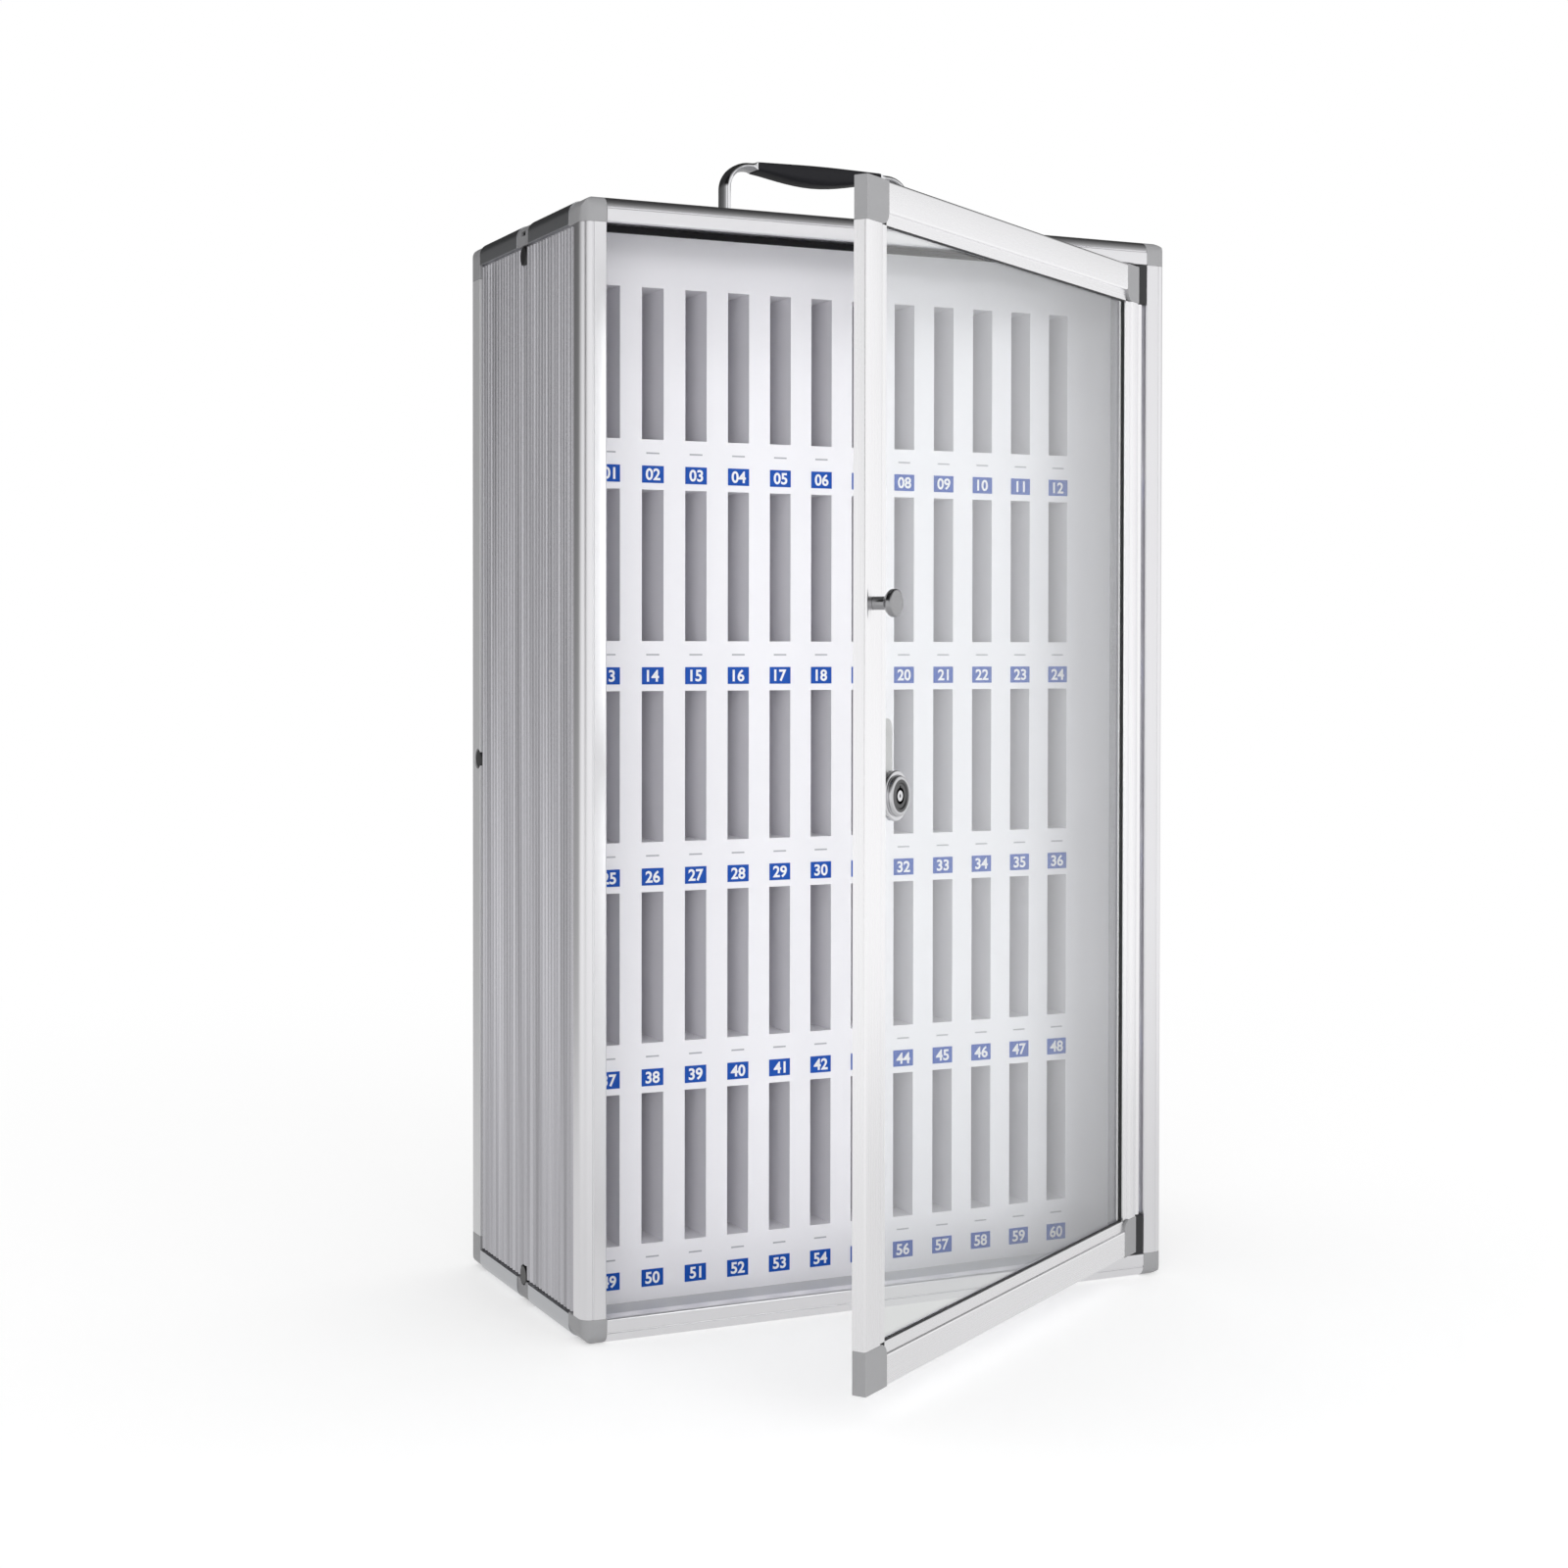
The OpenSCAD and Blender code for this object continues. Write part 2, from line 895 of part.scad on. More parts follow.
module door_corner_caps() {
  color("darkgray")
    on_door()
      both_ends()
        translate([0, 0, door_z0]) {
          translate([door_x0, 0, 0])
            door_corner(door_face);
          translate([door_x1, 0, 0])
            mirror([1, 0, 0])
              door_corner(hinge_face);
        }
}

// Edges of the glass, all round
glass_x0 = door_x0 + door_face + glass_in;
glass_x1 = door_x1 - hinge_face - glass_in;
glass_z0 = door_z0 + door_face + glass_in;
glass_z1 = body_h - glass_z0;

module door_glass() {
  color([0.8, 0.9, 0.9, 0.3])
    on_door()
      difference() {
        translate([glass_x0, glass_front, glass_z0])
          cube([glass_x1 - glass_x0, glass_t, glass_z1 - glass_z0]);
        bar_y(lock_x, glass_front - 1, glass_back + 1, lock_z, barrel_d / 2 + 0.2);
      }
}

// Thin rubber ring between the front lip and the glass
module glazing_gasket() {
  ring = lip_w - glass_in + gasket_show;
  color("black")
    on_door()
      difference() {
        translate([glass_x0, glass_front - gasket_t, glass_z0])
          cube([glass_x1 - glass_x0, gasket_t, glass_z1 - glass_z0]);
        translate([glass_x0 + ring, glass_front - gasket_t - 1, glass_z0 + ring])
          cube([glass_x1 - glass_x0 - 2 * ring, gasket_t + 2, glass_z1 - glass_z0 - 2 * ring]);
      }
}

// Turned knob: a stem with a round-edged disc domed behind, and a blind hole for its screw
module door_knob() {
  edge = 1.2;
  rim = knob_d / 2;
  dome_r = (rim * rim + knob_dome * knob_dome) / (2 * knob_dome);
  color("darkgray")
    on_door()
      translate([knob_x, door_y, knob_z])
        rotate([90, 0, 0])
          difference() {
            rotate_extrude()
              union() {
                square([knob_stem_r, knob_out]);
                translate([0, knob_out - knob_disc_t])
                  square([rim - edge, knob_disc_t]);
                translate([0, knob_out - knob_disc_t])
                  square([rim, knob_disc_t - edge]);
                translate([rim - edge, knob_out - edge])
                  circle(edge);
                intersection() {
                  translate([0, knob_out - knob_disc_t - knob_dome + dome_r])
                    circle(dome_r, $fn = 96);
                  square([rim, knob_out - knob_disc_t]);
                }
              }
            translate([0, 0, -1])
              cylinder(h = knob_out - knob_disc_t, r = screw_r + seated);
          }
}

module knob_screw() {
  reach = 8;
  color("lightgray")
    on_door() {
      bar_y(knob_x, door_y - reach, door_y + door_t, knob_z, screw_r);
      bar_y(knob_x, door_y + door_t, door_y + door_t + 1.6, knob_z, 2 * screw_r);
    }
}

// Lock: bevelled flange on the glass with a round-edged collar, and the barrel that the nut clamps
module lock_body() {
  bevel = 0.6;
  edge = 1.6;
  out = glass_front - lock_front;
  color("silver")
    on_door()
      difference() {
        union() {
          translate([lock_x, glass_front, lock_z])
            rotate([90, 0, 0])
              rotate_extrude()
                union() {
                  square([flange_d / 2, flange_t - bevel]);
                  polygon([[0, 0], [flange_d / 2, flange_t - bevel], [flange_d / 2 - bevel, flange_t],
                    [0, flange_t]]);
                  square([bezel_d / 2, out - edge]);
                  square([bezel_d / 2 - edge, out]);
                  translate([bezel_d / 2 - edge, out - edge])
                    circle(edge);
                }
          bar_y(lock_x, glass_front, cam_y - slip, lock_z, barrel_d / 2);
        }
        bar_y(lock_x, lock_front - 1, cam_y + 1, lock_z, plug_body_r + running);
        bar_y(lock_x, lock_front - 1, plug_front + plug_face_t, lock_z, plug_face_r + running);
        translate([lock_x, plug_front, lock_z])
          rotate([90, 0, 0])
            cylinder(h = 1, r1 = plug_face_r + running, r2 = plug_face_r + running + 1);
      }
}

module lock_nut() {
  color("silver")
    on_door()
      difference() {
        translate([lock_x, glass_back, lock_z])
          rotate([-90, 30, 0])
            cylinder(h = nut_t, r = nut_flats / 2 / cos(30), $fn = 6);
        bar_y(lock_x, glass_back - 1, glass_back + nut_t + 1, lock_z, barrel_d / 2 + seated);
      }
}

// Turning plug with a round keyway and its post in front, and a square tail for the cam
module lock_plug() {
  key_r = 4.6;
  post_r = 3.1;
  post_hole_r = 0.9;
  notch_w = 1.4;
  key_deep = 4;
  color("gainsboro")
    on_door()
      difference() {
        union() {
          bar_y(lock_x, plug_front, plug_front + plug_face_t, lock_z, plug_face_r);
          bar_y(lock_x, plug_front, cam_y, lock_z, plug_body_r);
          translate([lock_x - tail_w / 2, cam_y - 1, lock_z - tail_w / 2])
            cube([tail_w, cam_t + 1, tail_w]);
        }
        difference() {
          bar_y(lock_x, plug_front - 1, plug_front + key_deep, lock_z, key_r);
          bar_y(lock_x, plug_front - 2, plug_front + key_deep + 1, lock_z, post_r);
        }
        bar_y(lock_x, plug_front - 1, plug_front + key_deep / 2, lock_z, post_hole_r);
        translate([lock_x - notch_w / 2, plug_front - 1, lock_z + (key_r + post_r) / 2])
          cube([notch_w, plug_face_t + 0.6, (key_r - post_r) / 2 + 1]);
        bar_y(lock_x, cam_y - 2.5, cam_y + cam_t + 1, lock_z, cam_screw_r + seated);
      }
}

// Cam on the plug's tail, upright when the lock is open
module lock_cam() {
  hole = tail_w / 2 + seated;
  color("silver")
    on_door()
      along_y(cam_y, cam_y + cam_t)
        translate([lock_x, lock_z])
          difference() {
            union() {
              circle(cam_w / 2 + 1.5);
              translate([-cam_w / 2, 0])
                square([cam_w, cam_len - cam_w / 2]);
              translate([0, cam_len - cam_w / 2])
                circle(cam_w / 2);
            }
            translate([-hole, -hole])
              square(2 * hole);
          }
}

module cam_screw() {
  color("lightgray")
    on_door() {
      bar_y(lock_x, cam_y - 2, cam_y + cam_t, lock_z, cam_screw_r);
      bar_y(lock_x, cam_y + cam_t, cam_y + cam_t + 2, lock_z, tail_w / 2 + 1.5);
    }
}

front_top_rail();
front_bottom_rail();
front_left_stile();
front_right_stile();
front_corner_caps();
left_edge_rails();
right_edge_rails();
rear_posts();
rear_rails();
rear_corner_caps();
rail_splices();
panel_plugs();
left_side_panel();
right_side_panel();
top_panel();
bottom_panel();
back_panel();
header_band();
shelf_row(0);  // shelf_row_1
shelf_row(1);  // shelf_row_2
shelf_row(2);  // shelf_row_3
shelf_row(3);  // shelf_row_4
shelf_row(4);  // shelf_row_5
dividers_row(0);  // dividers_row_1
dividers_row(1);  // dividers_row_2
dividers_row(2);  // dividers_row_3
dividers_row(3);  // dividers_row_4
dividers_row(4);  // dividers_row_5
number_labels();
top_seal_strip();
upper_hinge_block();
lower_hinge_block();
hinge_pins();
handle_brackets();
bracket_rivets();
handle_pins();
door_top_rail();
door_bottom_rail();
door_lock_stile();
door_hinge_stile();
door_corner_caps();
door_glass();
glazing_gasket();
door_knob();
knob_screw();
lock_body();
lock_nut();
lock_plug();
lock_cam();
cam_screw();
handle_bail();
handle_grip();
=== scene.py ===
"""Counter-top storage box for mobile phones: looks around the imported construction."""
import math

import bmesh
import bpy
from mathutils import Matrix, Vector


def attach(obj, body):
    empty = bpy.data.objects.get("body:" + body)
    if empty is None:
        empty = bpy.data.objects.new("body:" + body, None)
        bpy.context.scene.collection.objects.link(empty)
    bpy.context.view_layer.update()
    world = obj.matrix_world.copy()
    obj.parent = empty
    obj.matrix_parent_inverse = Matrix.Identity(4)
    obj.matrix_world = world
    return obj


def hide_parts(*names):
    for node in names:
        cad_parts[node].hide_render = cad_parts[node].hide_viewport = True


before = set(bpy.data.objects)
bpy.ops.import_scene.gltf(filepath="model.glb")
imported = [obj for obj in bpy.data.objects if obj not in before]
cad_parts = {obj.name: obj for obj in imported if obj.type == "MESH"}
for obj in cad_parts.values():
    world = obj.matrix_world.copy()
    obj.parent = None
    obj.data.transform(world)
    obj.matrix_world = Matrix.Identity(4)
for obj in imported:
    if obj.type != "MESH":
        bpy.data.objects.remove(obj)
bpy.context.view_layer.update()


# The camera: a plain lens that stands left of the door side, at the height of the knob, so
# that the box is seen at the photograph's angle. The small shift lifts the box in the frame.
def placed(name, data):
    """A new object in the scene."""
    thing = bpy.data.objects.new(name, data)
    bpy.context.scene.collection.objects.link(thing)
    return thing


camera_data = bpy.data.cameras.new("studio_camera")
camera_data.sensor_width = 36
camera_data.lens = 55.95
camera_data.shift_y = -0.0642
camera = placed("studio_camera", camera_data)
camera.location = (-0.7228, -1.5013, 0.4246)
camera.rotation_euler = (math.radians(89.21), math.radians(-0.083), math.radians(-24.99))
bpy.context.scene.camera = camera
bpy.context.scene.view_settings.view_transform = "Standard"

# The sky: bright at the horizon and dark overhead, so that rounded metal shows a dark upper
# edge. It is darker behind the box and high on the left too, which the side walls and the
# rails above them reflect, and a narrow black flag gives polished metal a dark line.
WHITE = (1, 1, 1, 1)
SKY_LEVELS = [(0.0, 1.0), (0.22, 1.0), (0.50, 0.50), (0.80, 0.16), (1.0, 0.03)]
SKY_ON_MATT = 0.65
BEHIND = 0.78
FLAG_AZIMUTH = math.radians(205)
FLAG_EDGE, FLAG_SIDE = (0.11, 0.15), (0.1, 0.0)
SHADE_LEFT, SHADE_ABOVE, SHADE_DEPTH = (-0.45, -0.70), (0.24, 0.36), 0.95


def node_tree(owner):
    """Empties a node tree and returns a maker of nodes and a maker of links."""
    owner.use_nodes = True
    tree = owner.node_tree
    tree.nodes.clear()

    def add(kind, **settings):
        node = tree.nodes.new(kind)
        for key, value in settings.items():
            setattr(node, key, value)
        return node

    return add, tree.links.new


def feed(link, node, values):
    """Sets a node's inputs in turn, each to a plain value or to another node's output."""
    for socket, value in zip(node.inputs, values):
        if isinstance(value, bpy.types.NodeSocket):
            link(value, socket)
        else:
            socket.default_value = value
    return node


def number(add, link, operation, *values):
    """Works out a number from others."""
    return feed(link, add("ShaderNodeMath", operation=operation), values).outputs[0]


def vector(add, link, operation, *values):
    """Works out a vector from others, or a number where the operation gives one."""
    node = feed(link, add("ShaderNodeVectorMath", operation=operation), values)
    return node.outputs["Value" if operation in ("DOT_PRODUCT", "LENGTH") else "Vector"]


def eased(add, link, value, limits, low=0, high=1, shape="LINEAR"):
    """Takes a value from low to high between two limits, and holds it beyond them."""
    ramp = add("ShaderNodeMapRange", interpolation_type=shape)
    ramp.inputs["From Min"].default_value = limits[0]
    ramp.inputs["From Max"].default_value = limits[1]
    ramp.inputs["To Min"].default_value = low
    ramp.inputs["To Max"].default_value = high
    link(value, ramp.inputs["Value"])
    return ramp.outputs[0]


def stepped(add, link, value, levels, tone=(1, 1, 1)):
    """A tone that follows a value through the given levels."""
    ramp = add("ShaderNodeValToRGB")
    stops = ramp.color_ramp.elements
    while len(stops) < len(levels):
        stops.new(0.5)
    for stop, (place, level) in zip(stops, levels):
        stop.position = place
        stop.color = (*(c * level for c in tone), 1)
    link(value, ramp.inputs[0])
    return ramp.outputs["Color"]


def glow(add, link, kind, level=1.0, color=WHITE):
    """Light of a level and colour, from the sky or from a surface."""
    return feed(link, add(kind), (color, level)).outputs[0]


def mixed(add, link, factor, first, second):
    """A shader that turns from the first into the second as the factor goes from 0 to 1."""
    return feed(link, add("ShaderNodeMixShader"), (factor, first, second)).outputs[0]


def backdrop_rays(add, link):
    """One for the rays that show the backdrop: straight from the lens, off metal or through glass."""
    path = add("ShaderNodeLightPath")
    straight = path.outputs["Is Camera Ray"]
    off_metal = number(add, link, "MAXIMUM", straight, path.outputs["Is Glossy Ray"])
    return straight, number(add, link, "MAXIMUM", off_metal, path.outputs["Is Transmission Ray"])


world = bpy.data.worlds.new("studio_sky")
bpy.context.scene.world = world
add, link = node_tree(world)
direction = add("ShaderNodeTexCoord").outputs["Generated"]
split = feed(link, add("ShaderNodeSeparateXYZ"), (direction,))
right, rear, up = split.outputs
raised = number(add, link, "MULTIPLY_ADD", number(add, link, "MAXIMUM", rear, 0), BEHIND, up)
sky = stepped(add, link, raised, SKY_LEVELS)
flag_x, flag_y = math.cos(FLAG_AZIMUTH), math.sin(FLAG_AZIMUTH)
across = vector(add, link, "DOT_PRODUCT", direction, (-flag_y, flag_x, 0))
toward = vector(add, link, "DOT_PRODUCT", direction, (flag_x, flag_y, 0))
beside = eased(add, link, number(add, link, "ABSOLUTE", across), FLAG_EDGE)
flag = number(add, link, "MAXIMUM", beside, eased(add, link, toward, FLAG_SIDE))
leftward = eased(add, link, right, SHADE_LEFT)
high = eased(add, link, up, SHADE_ABOVE, 0, -SHADE_DEPTH)
shade = number(add, link, "MULTIPLY_ADD", leftward, high, 1)
shaded = number(add, link, "MULTIPLY", number(add, link, "MULTIPLY", sky, flag), shade)
straight, showing = backdrop_rays(add, link)
dome = glow(add, link, "ShaderNodeBackground", SKY_ON_MATT)
mirrored = glow(add, link, "ShaderNodeBackground", color=shaded)
backdrop = glow(add, link, "ShaderNodeBackground")
on_metal = mixed(add, link, showing, dome, mirrored)
feed(link, add("ShaderNodeOutputWorld"), (mixed(add, link, straight, on_metal, backdrop),))


# The lamps: a large soft box in front of the door side and a smaller one on its left. Metal
# mirrors the sky and not the lamps, so they only light the matt pieces and cast the shadow.
def soft_box(name, place, target, size, power):
    """A rectangular area lamp that faces its target."""
    lamp_data = bpy.data.lights.new(name, "AREA")
    lamp_data.shape = "RECTANGLE"
    lamp_data.size, lamp_data.size_y = size
    lamp_data.energy = power
    lamp = placed(name, lamp_data)
    lamp.location = place
    lamp.rotation_euler = (Vector(target) - Vector(place)).to_track_quat("-Z", "Y").to_euler()
    lamp.visible_glossy = False


soft_box("front_soft_box", place=(0.5, -2.8, 0.6), target=(0, 0, 0.35), size=(2.0, 1.4), power=22)
soft_box("left_soft_box", place=(-1.3, -2.3, 0.5), target=(0, -0.05, 0.35), size=(1.2, 1.0), power=11.4)

# The floor: a pale matt sweep that keeps the box's soft shadow and fades to white further out.
# In metal it is a little darker near the box, and darkest far behind it.
FLOOR_SIZE = 16
FLOOR_TONE, FLOOR_LIFT = (0.86, 0.86, 0.86, 1), 0.41
SWEEP_FADE = (0.5, 1.6)
FLOOR_NEAR, FLOOR_BEHIND = 0.72, 0.30
FLOOR_REACH, FLOOR_HEADING = (0.3, 1.8), (0.28, 0.95)
bpy.ops.mesh.primitive_grid_add(x_subdivisions=8, y_subdivisions=8, size=FLOOR_SIZE)
floor = bpy.context.object
floor.name = "studio_floor"
floor_paint = bpy.data.materials.new("pale_floor")
add, link = node_tree(floor_paint)
place = add("ShaderNodeNewGeometry").outputs["Position"]
away = vector(add, link, "LENGTH", place)
floor_split = feed(link, add("ShaderNodeSeparateXYZ"), (place,))
heading = number(add, link, "DIVIDE", floor_split.outputs["Y"], away)
matt = feed(link, add("ShaderNodeBsdfDiffuse"), (FLOOR_TONE,)).outputs[0]
lift = glow(add, link, "ShaderNodeEmission", FLOOR_LIFT)
lifted = feed(link, add("ShaderNodeAddShader"), (matt, lift)).outputs[0]
sweep = glow(add, link, "ShaderNodeEmission")
faded = eased(add, link, away, SWEEP_FADE, shape="SMOOTHSTEP")
showing = backdrop_rays(add, link)[1]
shown = mixed(add, link, showing, matt, mixed(add, link, faded, lifted, sweep))
in_metal = add("ShaderNodeMix", data_type="FLOAT")
in_metal.inputs["A"].default_value = FLOOR_NEAR
link(eased(add, link, away, FLOOR_REACH, shape="SMOOTHSTEP"), in_metal.inputs["Factor"])
link(eased(add, link, heading, FLOOR_HEADING, 1, FLOOR_BEHIND), in_metal.inputs["B"])
mirror_floor = glow(add, link, "ShaderNodeEmission", in_metal.outputs["Result"])
glossy = add("ShaderNodeLightPath").outputs["Is Glossy Ray"]
feed(link, add("ShaderNodeOutputMaterial"), (mixed(add, link, glossy, shown, mirror_floor),))
floor.data.materials.append(floor_paint)

# The front frame: four aluminium extrusions with a rounded outer edge, a flat face and an
# inner return that the door shuts against. They are drawn, satin anodised, cut square and
# held together by the corner caps.
MM = 0.001
WELD, ON_PLANE = 0.002 * MM, 0.0001 * MM
SAME_PLANE = math.radians(0.6)
DRAWN_EDGE = 0.25 * MM
NOISE_LIMITS = (0.3, 0.7)
ALONG_X, ALONG_Y, ALONG_Z = (300, 1, 1), (1, 300, 1), (1, 1, 300)


def cut(bm, place, facing):
    """Cuts a bmesh's faces along a plane."""
    everything = bm.verts[:] + bm.edges[:] + bm.faces[:]
    bmesh.ops.bisect_plane(bm, geom=everything, dist=ON_PLANE, plane_co=place, plane_no=facing)


def smoothed(mesh, angle):
    """Shades a mesh smooth, with a break at each edge sharper than an angle in degrees."""
    for stored in ("custom_normal", "sharp_edge", "sharp_face"):
        if stored in mesh.attributes:
            mesh.attributes.remove(mesh.attributes[stored])
    mesh.update()
    mesh.shade_smooth()
    mesh.set_sharp_from_angle(angle=math.radians(angle))


def softened(node, name, edge=0, angle=30, cuts=()):
    """A copy of a piece's solid with its planes joined up and its sharp edges broken. A piece
    with cuts keeps its planes and gets a ring of edges at each of those heights instead."""
    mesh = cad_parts[node].data.copy()
    mesh.name = name
    mesh.materials.clear()
    bm = bmesh.new()
    bm.from_mesh(mesh)
    bmesh.ops.remove_doubles(bm, verts=bm.verts, dist=WELD)
    if not cuts:
        bmesh.ops.dissolve_limit(bm, angle_limit=SAME_PLANE, verts=bm.verts, edges=bm.edges)
    for height in cuts:
        cut(bm, (0, 0, height), (0, 0, 1))
    bm.to_mesh(mesh)
    bm.free()
    smoothed(mesh, angle)
    piece = placed(name, mesh)
    if edge:
        bevel = piece.modifiers.new("broken_edges", "BEVEL")
        bevel.width = edge
        bevel.segments = 2
        bevel.limit_method = "ANGLE"
        bevel.angle_limit = math.radians(angle)
        bevel.harden_normals = True
    return piece


def fit(piece, body, slot, material, *nodes):
    """Puts a finished piece in the place of the named nodes, on the body that carries them."""
    piece.data.materials.clear()
    piece.data.materials.append(material)
    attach(piece, body)
    if nodes:
        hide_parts(*nodes)


def refit(node, name, edge, body, slot, material, **shaping):
    """Puts a softened copy of a node in its place."""
    fit(softened(node, name, edge, **shaping), body, slot, material, node)


def finish(name, tone, roughness, metallic=0.0):
    """A material with its plain numbers on the shader's own sockets."""
    material = bpy.data.materials.new(name)
    add, link = node_tree(material)
    shader = add("ShaderNodeBsdfPrincipled")
    shader.inputs["Base Color"].default_value = (*tone, 1)
    shader.inputs["Roughness"].default_value = roughness
    shader.inputs["Metallic"].default_value = metallic
    feed(link, add("ShaderNodeOutputMaterial"), (shader.outputs[0],))
    return material, add, link, shader


def grain(add, link, scale, stretch=(1, 1, 1), detail=4, turn=0):
    """Noise in the object's own metres, drawn out along an axis, on a piece turned about Z."""
    mapping = add("ShaderNodeMapping", vector_type="TEXTURE")
    mapping.inputs["Scale"].default_value = stretch
    mapping.inputs["Rotation"].default_value = (0, 0, math.radians(turn))
    noise = add("ShaderNodeTexNoise")
    noise.inputs["Scale"].default_value = scale
    noise.inputs["Detail"].default_value = detail
    link(add("ShaderNodeTexCoord").outputs["Object"], mapping.inputs[0])
    link(mapping.outputs[0], noise.inputs["Vector"])
    return noise.outputs["Fac"]


def polish(add, link, shader, value, low, high):
    """Lets noise move the roughness between two levels."""
    link(eased(add, link, value, NOISE_LIMITS, low, high), shader.inputs["Roughness"])


def tint(add, link, shader, value, tone, low, high):
    """Lets a value move the base colour between a darker and a lighter shade of its tone."""
    mix = add("ShaderNodeMix", data_type="RGBA")
    mix.inputs["A"].default_value = (*(c * low for c in tone), 1)
    mix.inputs["B"].default_value = (*(c * high for c in tone), 1)
    link(value, mix.inputs["Factor"])
    link(mix.outputs["Result"], shader.inputs["Base Color"])


def relief(add, link, shader, value, depth, strength):
    """A fine bump, with its depth in metres."""
    bump = add("ShaderNodeBump")
    bump.inputs["Distance"].default_value = depth
    bump.inputs["Strength"].default_value = strength
    link(value, bump.inputs["Height"])
    link(bump.outputs[0], shader.inputs["Normal"])


def drawn_aluminium(name, along, tone=(0.86, 0.855, 0.875), roughness=0.30, turn=0, metallic=1.0):
    """Satin anodised extrusion: fine die lines along its length and a faint cloudiness."""
    material, add, link, shader = finish(name, tone, roughness, metallic)
    lines = grain(add, link, scale=1500, stretch=along, detail=2, turn=turn)
    tint(add, link, shader, grain(add, link, scale=14, detail=2), tone, low=0.985, high=1.015)
    polish(add, link, shader, lines, roughness - 0.012, roughness + 0.012)
    relief(add, link, shader, lines, depth=8e-7, strength=0.15)
    return material


frame_along_x = drawn_aluminium("frame_aluminium_across", ALONG_X)
frame_along_z = drawn_aluminium("frame_aluminium_upright", ALONG_Z)
for node in ("front_top_rail", "front_bottom_rail"):
    refit(node, node + "_extrusion", DRAWN_EDGE, "cabinet", "frame_aluminium", frame_along_x, angle=50)
for node in ("front_left_stile", "front_right_stile"):
    refit(node, node + "_extrusion", DRAWN_EDGE, "cabinet", "frame_aluminium", frame_along_z)

# The front corner caps: grey moulded plastic, rounded on all three outer edges and pushed
# over the ends of the extrusions.
MOULDED_EDGE = 0.4 * MM
cap_tone = (0.37, 0.37, 0.38)
cap_plastic, add, link, shader = finish("cap_plastic", cap_tone, roughness=0.38)
speckle = grain(add, link, scale=1400)
tint(add, link, shader, grain(add, link, scale=60), cap_tone, low=0.94, high=1.06)
polish(add, link, shader, speckle, low=0.33, high=0.44)
relief(add, link, shader, speckle, depth=2e-5, strength=0.3)
refit("front_corner_caps", "front_corner_caps_moulded", MOULDED_EDGE, "cabinet", "cap_grey", cap_plastic)

# The edge rails: two lengths of angle extrusion on each long edge from front to back, with a
# grey moulded clip between them, which has a window where the rail is rounded.
CLIP_EDGE = 0.3 * MM


def moulded(name, tone, roughness, pits, depth, strength=0.3, clouds=None, specular=0.5, metallic=0.0):
    """A dull finish with fine pits, and clouds of a darker and a lighter shade where given."""
    material, add, link, shader = finish(name, tone, roughness, metallic)
    shader.inputs["Specular IOR Level"].default_value = specular
    if clouds:
        scale, low, high = clouds
        tint(add, link, shader, grain(add, link, scale), tone, low, high)
    relief(add, link, shader, grain(add, link, pits), depth, strength)
    return material


rail_metal = drawn_aluminium("edge_rail_aluminium", ALONG_Y, tone=(0.56, 0.57, 0.59), roughness=0.34)
for node in ("left_edge_rails", "right_edge_rails"):
    refit(node, node + "_extrusions", DRAWN_EDGE, "cabinet", "rail_aluminium", rail_metal)
clip_plastic = moulded("clip_plastic", (0.30, 0.30, 0.31), roughness=0.42, pits=1500, depth=2e-5,
                       clouds=(90, 0.85, 1.2))
refit("rail_splices", "rail_clips", CLIP_EDGE, "cabinet", "clip_grey", clip_plastic)

# The rear frame: wider angle extrusions up and across the back, drawn and anodised as in
# front, the uprights with a duller surface, and with moulded caps on its four corners.
rear_along_z = drawn_aluminium("rear_aluminium_upright", ALONG_Z, tone=(0.80, 0.80, 0.81),
                               roughness=0.42, metallic=0.5)
rear_along_x = drawn_aluminium("rear_aluminium_across", ALONG_X)
refit("rear_posts", "rear_post_extrusions", DRAWN_EDGE, "cabinet", "frame_aluminium", rear_along_z)
refit("rear_rails", "rear_rail_extrusions", DRAWN_EDGE, "cabinet", "frame_aluminium", rear_along_x)
refit("rear_corner_caps", "rear_corner_caps_moulded", MOULDED_EDGE, "cabinet", "cap_grey", cap_plastic)

# The side walls: extruded boards with upright round-backed ribs, satin grey with long soft
# upright bands of painted highlight and shade in the base colour, and fine streaks in the gloss.
# They stand between the rails and the posts, and the plugs hold them there.
PLUG_HEIGHTS, PLUG_REACH = (18.4, 350, 678.6), 9
side_tone = (0.53, 0.525, 0.555)
ribbed, add, link, shader = finish("ribbed_board", side_tone, roughness=0.24, metallic=0.8)
# Painted highlight and shade: long upright bands in the base colour, standing in for the glints off the
# ribs.
painted_highlight_bands = grain(add, link, scale=110, stretch=(1, 1, 60), detail=1)
tint(add, link, shader, eased(add, link, painted_highlight_bands, NOISE_LIMITS), side_tone, low=0.76, high=1.26)
streaks = grain(add, link, scale=1800, stretch=ALONG_Z, detail=2)
polish(add, link, shader, streaks, low=0.21, high=0.27)
relief(add, link, shader, streaks, depth=2e-6, strength=0.2)
plug_rows = [(plug + side * PLUG_REACH) * MM for plug in PLUG_HEIGHTS for side in (-1, 1)]
for node in ("left_side_panel", "right_side_panel"):
    refit(node, node + "_ribbed", 0, "cabinet", "ribbed_board", ribbed, cuts=plug_rows)

# The plugs: black push-in buttons with a bevelled head, which hold the side walls to the
# frame from outside. The lower ones reach over the clip.
SMALL_EDGE = 0.2 * MM
plug_black = moulded("plug_black", (0.012, 0.012, 0.013), roughness=0.32, pits=1600, depth=2e-5,
                     strength=0.25)
refit("panel_plugs", "panel_plug_buttons", SMALL_EDGE, "cabinet", "rubber_black", plug_black)

